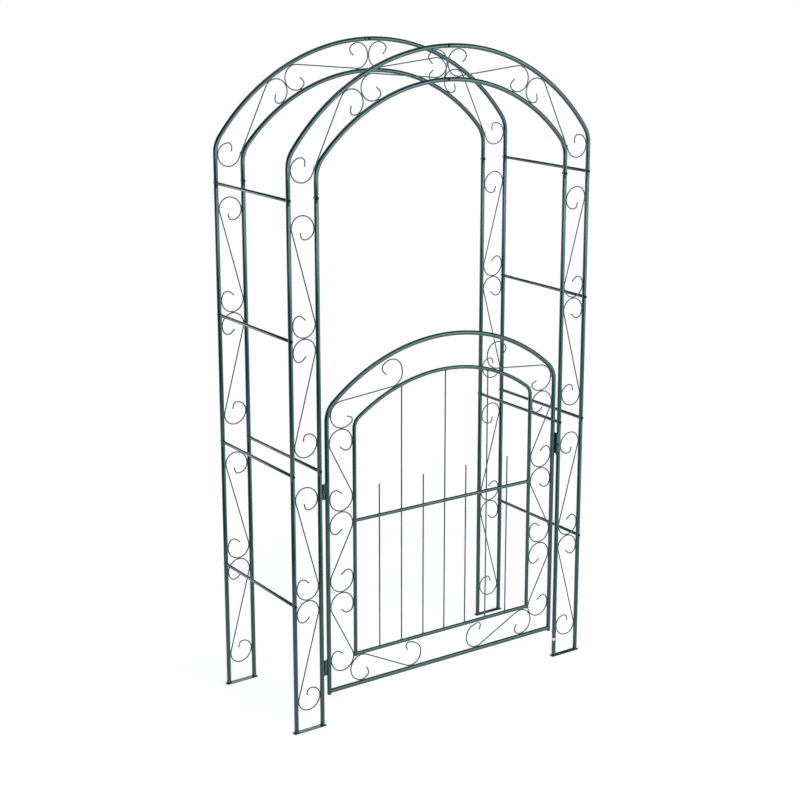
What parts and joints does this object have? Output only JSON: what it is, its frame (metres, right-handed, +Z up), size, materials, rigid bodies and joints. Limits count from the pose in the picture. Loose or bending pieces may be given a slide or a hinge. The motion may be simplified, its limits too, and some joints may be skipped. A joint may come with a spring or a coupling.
{
  "type": "garden arch with gate",
  "caption": "Free-standing arch of painted steel tube with scrollwork sides and a low arched gate on lift-off hinges.",
  "frame": {"origin": "on the ground, midway between the two frames and midway between the legs", "axes": "+Z up; +X across the arch, from the hinge side to the latch side; the gate is on the -Y side"},
  "size_m": [1.1726, 0.4769, 2.1437],
  "materials": {
    "green_paint": "satin dark green powder coat",
    "dark_screws": "blackened",
    "plated_screw": "zinc plated",
    "washer_brass": "plain"
  },
  "bodies": {
    "arch": {"back_left_arch_scrolls": "green_paint", "back_left_foot_plate": "green_paint", "back_left_inner_arch_tube": "green_paint", "back_left_inner_lower_tube": "green_paint", "back_left_inner_upper_tube": "green_paint", "back_left_leg_scrolls": "green_paint", "back_left_outer_arch_tube": "green_paint", "back_left_outer_lower_tube": "green_paint", "back_left_outer_upper_tube": "green_paint", "back_right_arch_scrolls": "green_paint", "back_right_foot_plate": "green_paint", "back_right_inner_arch_tube": "green_paint", "back_right_inner_lower_tube": "green_paint", "back_right_inner_upper_tube": "green_paint", "back_right_leg_scrolls": "green_paint", "back_right_outer_arch_tube": "green_paint", "back_right_outer_lower_tube": "green_paint", "back_right_outer_upper_tube": "green_paint", "front_left_arch_scrolls": "green_paint", "front_left_foot_plate": "green_paint", "front_left_inner_arch_tube": "green_paint", "front_left_inner_lower_tube": "green_paint", "front_left_inner_upper_tube": "green_paint", "front_left_leg_scrolls": "green_paint", "front_left_outer_arch_tube": "green_paint", "front_left_outer_lower_tube": "green_paint", "front_left_outer_upper_tube": "green_paint", "front_right_arch_scrolls": "green_paint", "front_right_foot_plate": "green_paint", "front_right_inner_arch_tube": "green_paint", "front_right_inner_lower_tube": "green_paint", "front_right_inner_upper_tube": "green_paint", "front_right_leg_scrolls": "green_paint", "front_right_outer_arch_tube": "green_paint", "front_right_outer_lower_tube": "green_paint", "front_right_outer_upper_tube": "green_paint", "hinge_post_halves": "green_paint", "hinge_washers": "washer_brass", "inner_rungs": "green_paint", "joint_nuts": "dark_screws", "joint_screws": "dark_screws", "latch_bracket": "green_paint", "latch_rivet": "dark_screws", "left_outer_rungs": "green_paint", "leg_screw": "plated_screw", "right_outer_rungs": "green_paint", "rung_bolts": "dark_screws"},
    "gate": {"gate_bottom_rail": "green_paint", "gate_bottom_scrolls": "green_paint", "gate_inner_frame": "green_paint", "gate_inner_rail": "green_paint", "gate_long_bars": "green_paint", "gate_middle_rail": "green_paint", "gate_outer_frame": "green_paint", "gate_short_bars": "green_paint", "gate_side_scrolls": "green_paint", "gate_stile_caps": "green_paint", "gate_top_scrolls": "green_paint", "hinge_gate_halves": "green_paint"},
    "turn_button": {"turn_button": "green_paint"}
  },
  "joints": [
    {"name": "gate_swing", "type": "hinge", "parent": "arch", "child": "gate", "pos_m": [-0.4645, -0.2225, 0], "axis": [0, 0, 1], "range_deg": [-90, 0]},
    {"name": "button_turn", "type": "hinge", "parent": "arch", "child": "turn_button", "pos_m": [0.465, -0.2348, 0.7835], "axis": [0, 1, 0], "range_deg": [0, 90]}
  ]
}
